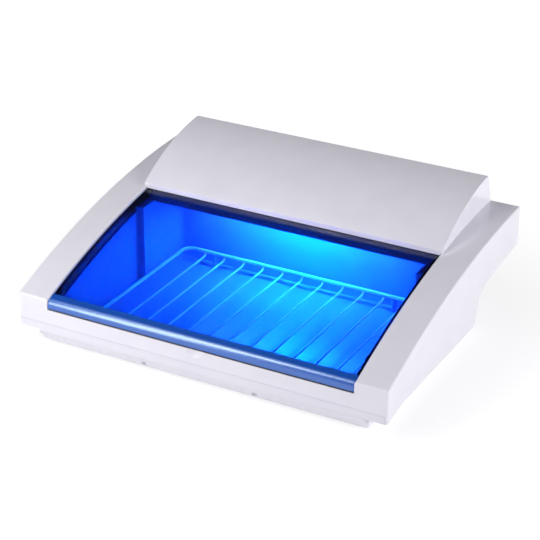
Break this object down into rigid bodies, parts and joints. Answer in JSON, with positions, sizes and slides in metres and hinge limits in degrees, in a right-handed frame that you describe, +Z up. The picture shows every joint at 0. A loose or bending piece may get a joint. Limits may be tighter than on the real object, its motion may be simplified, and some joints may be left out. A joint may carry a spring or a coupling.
{
  "type": "uv tool sterilizer cabinet",
  "caption": "Low white cabinet with a curved see-through blue door that slides back under a raised hood, over a lit chamber with a wire rack.",
  "frame": {"origin": "on the table, under the centre of the cabinet's outline", "axes": "+X to the object's right seen from the front, -Y to the front, +Z up"},
  "size_m": [0.43, 0.331, 0.1538],
  "materials": {
    "white_abs": "glossy moulded ABS",
    "liner_abs": "smooth moulded ABS",
    "white_steel": "white powder coat",
    "aluminium": "bright rolled",
    "white_plastic": "satin moulded",
    "lamp_glass": "clear quartz glass",
    "steel": "zinc plated",
    "black_plastic": "satin moulded",
    "brown_pvc": "wire insulation",
    "red_plastic": "glossy moulded",
    "blue_acrylic": "clear tinted acrylic",
    "black_rubber": "matt rubber",
    "coated_wire": "white plastic-dipped wire"
  },
  "bodies": {
    "case": {"upper_shell": "white_abs", "base_pan": "white_abs", "hood": "white_abs", "rear_panel": "white_abs", "chamber_liner": "liner_abs", "lamp_cowl": "white_steel", "reflector": "aluminium", "lamp_holder_left": "white_plastic", "lamp_holder_right": "white_plastic", "ballast": "steel", "starter": "white_plastic", "starter_socket": "white_plastic", "terminal_block": "white_plastic", "power_inlet": "black_plastic", "inlet_pins": "steel", "switch_bezel": "black_plastic", "interlock_sensor": "black_plastic", "door_track_left": "white_plastic", "door_track_right": "white_plastic", "door_bumpers": "black_rubber", "rubber_feet": "black_rubber", "mains_wires": "brown_pvc", "lamp_wires": "white_plastic", "sensor_wire": "black_plastic", "base_screws": "steel", "rear_panel_screws": "steel", "hood_screws": "steel", "ballast_screws": "steel"},
    "door": {"door_panel": "blue_acrylic", "door_handle": "blue_acrylic", "door_studs": "white_plastic", "interlock_magnet": "steel"},
    "rack": {"wire_rack": "coated_wire"},
    "lamp": {"uv_lamp": "lamp_glass", "lamp_caps": "aluminium", "lamp_rotors": "white_plastic"},
    "rocker": {"power_rocker": "red_plastic"}
  },
  "joints": [
    {"name": "door_slide", "type": "hinge", "parent": "case", "child": "door", "pos_m": [0, 0.16859, -0.79949], "axis": [-1, 0, 0], "range_deg": [0, 7.2]},
    {"name": "rack_lift", "type": "slide", "parent": "case", "child": "rack", "axis": [0, 0, 1], "range_m": [0, 0.03]},
    {"name": "lamp_turn", "type": "hinge", "parent": "case", "child": "lamp", "pos_m": [0, 0.06, 0.09241], "axis": [1, 0, 0], "range_deg": [0, 90]},
    {"name": "rocker_tilt", "type": "hinge", "parent": "case", "child": "rocker", "pos_m": [0.135, 0.161, 0.09797], "axis": [-1, 0, 0], "range_deg": [0, 16]}
  ]
}
